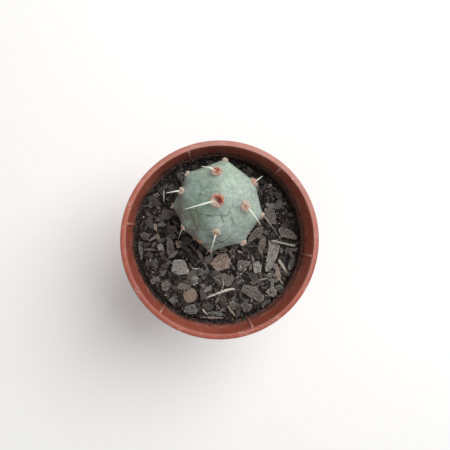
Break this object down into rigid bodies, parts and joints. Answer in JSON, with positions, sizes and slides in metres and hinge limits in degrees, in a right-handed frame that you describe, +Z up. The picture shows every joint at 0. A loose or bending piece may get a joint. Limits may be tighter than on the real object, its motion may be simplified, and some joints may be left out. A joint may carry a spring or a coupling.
{
  "type": "potted cactus",
  "caption": "Young globular tephrocactus in a small round plastic nursery pot, with woolly areoles, pale spines and bark mulch on dark potting mix.",
  "frame": {"origin": "centre of the pot's foot ring, on the surface that the pot stands on", "axes": "+Z up along the pot's axis, -Y towards the side with the most open soil, +X to the right seen from there"},
  "size_m": [0.06, 0.06, 0.0671],
  "materials": {
    "terracotta_plastic": "satin",
    "potting_mix": "matte",
    "stem_skin": "matte",
    "areole_wool": "matte",
    "spine_horn": "satin",
    "grey_bark": "matte",
    "brown_bark": "matte",
    "red_bark": "matte",
    "slate_bark": "matte",
    "tan_pebble": "matte",
    "dry_twig": "matte"
  },
  "bodies": {
    "root": {"pot": "terracotta_plastic", "potting_mix": "potting_mix", "cactus_stem": "stem_skin", "areole_01": "areole_wool", "areole_02": "areole_wool", "areole_03": "areole_wool", "areole_04": "areole_wool", "areole_05": "areole_wool", "areole_06": "areole_wool", "areole_07": "areole_wool", "areole_08": "areole_wool", "areole_09": "areole_wool", "areole_10": "areole_wool", "areole_11": "areole_wool", "areole_12": "areole_wool", "areole_13": "areole_wool", "areole_14": "areole_wool", "areole_15": "areole_wool", "areole_16": "areole_wool", "areole_17": "areole_wool", "areole_18": "areole_wool", "areole_19": "areole_wool", "areole_20": "areole_wool", "areole_21": "areole_wool", "areole_22": "areole_wool", "spine_01": "spine_horn", "spine_02": "spine_horn", "spine_03": "spine_horn", "spine_04": "spine_horn", "spine_05": "spine_horn", "spine_06": "spine_horn", "spine_07": "spine_horn", "spine_08": "spine_horn", "spine_09": "spine_horn", "bark_chip_01": "grey_bark", "bark_chip_02": "red_bark", "bark_chip_03": "brown_bark", "bark_chip_04": "grey_bark", "bark_chip_05": "brown_bark", "bark_chip_06": "grey_bark", "bark_chip_07": "brown_bark", "bark_chip_08": "grey_bark", "bark_chip_09": "slate_bark", "bark_chip_10": "brown_bark", "bark_chip_11": "red_bark", "bark_chip_12": "brown_bark", "bark_chip_13": "brown_bark", "bark_chip_14": "slate_bark", "bark_chip_15": "slate_bark", "bark_chip_16": "brown_bark", "bark_chip_17": "red_bark", "bark_chip_18": "slate_bark", "bark_chip_19": "slate_bark", "pebble": "tan_pebble", "twig_01": "dry_twig", "twig_02": "dry_twig", "twig_03": "dry_twig", "twig_04": "dry_twig", "twig_05": "dry_twig"}
  },
  "joints": []
}
